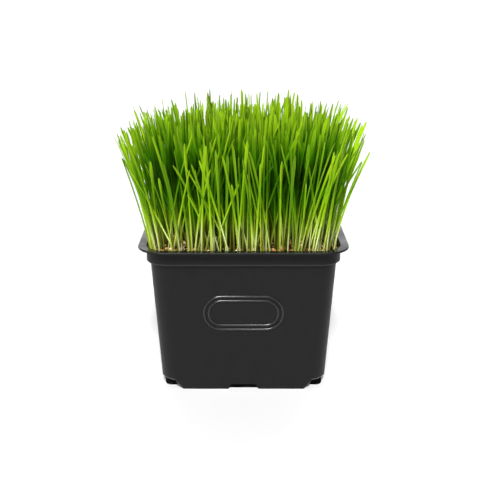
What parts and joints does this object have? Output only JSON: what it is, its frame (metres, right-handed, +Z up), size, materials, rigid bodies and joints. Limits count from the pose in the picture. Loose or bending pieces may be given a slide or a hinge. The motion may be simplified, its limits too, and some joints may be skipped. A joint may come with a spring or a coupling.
{
  "type": "wheatgrass tray",
  "caption": "Square tapered black plastic pot filled with growing medium and sprouted kernels, with a dense stand of young green wheatgrass fanning out above the rim.",
  "frame": {"origin": "on the table under the middle of the object, which is the middle of the pot", "axes": "+Z up; +Y towards the back, so the side of the pot that faces a viewer is the -Y side; +X to that viewer's right"},
  "size_m": [0.2259, 0.2248, 0.2541],
  "materials": {
    "pot_plastic": "satin",
    "medium": "matte",
    "kernel": "satin",
    "blade": "satin"
  },
  "bodies": {
    "root": {"pot": "pot_plastic", "growing_medium": "medium", "kernel_mat": "kernel", "grass_front": "blade", "grass_back": "blade"}
  },
  "joints": []
}
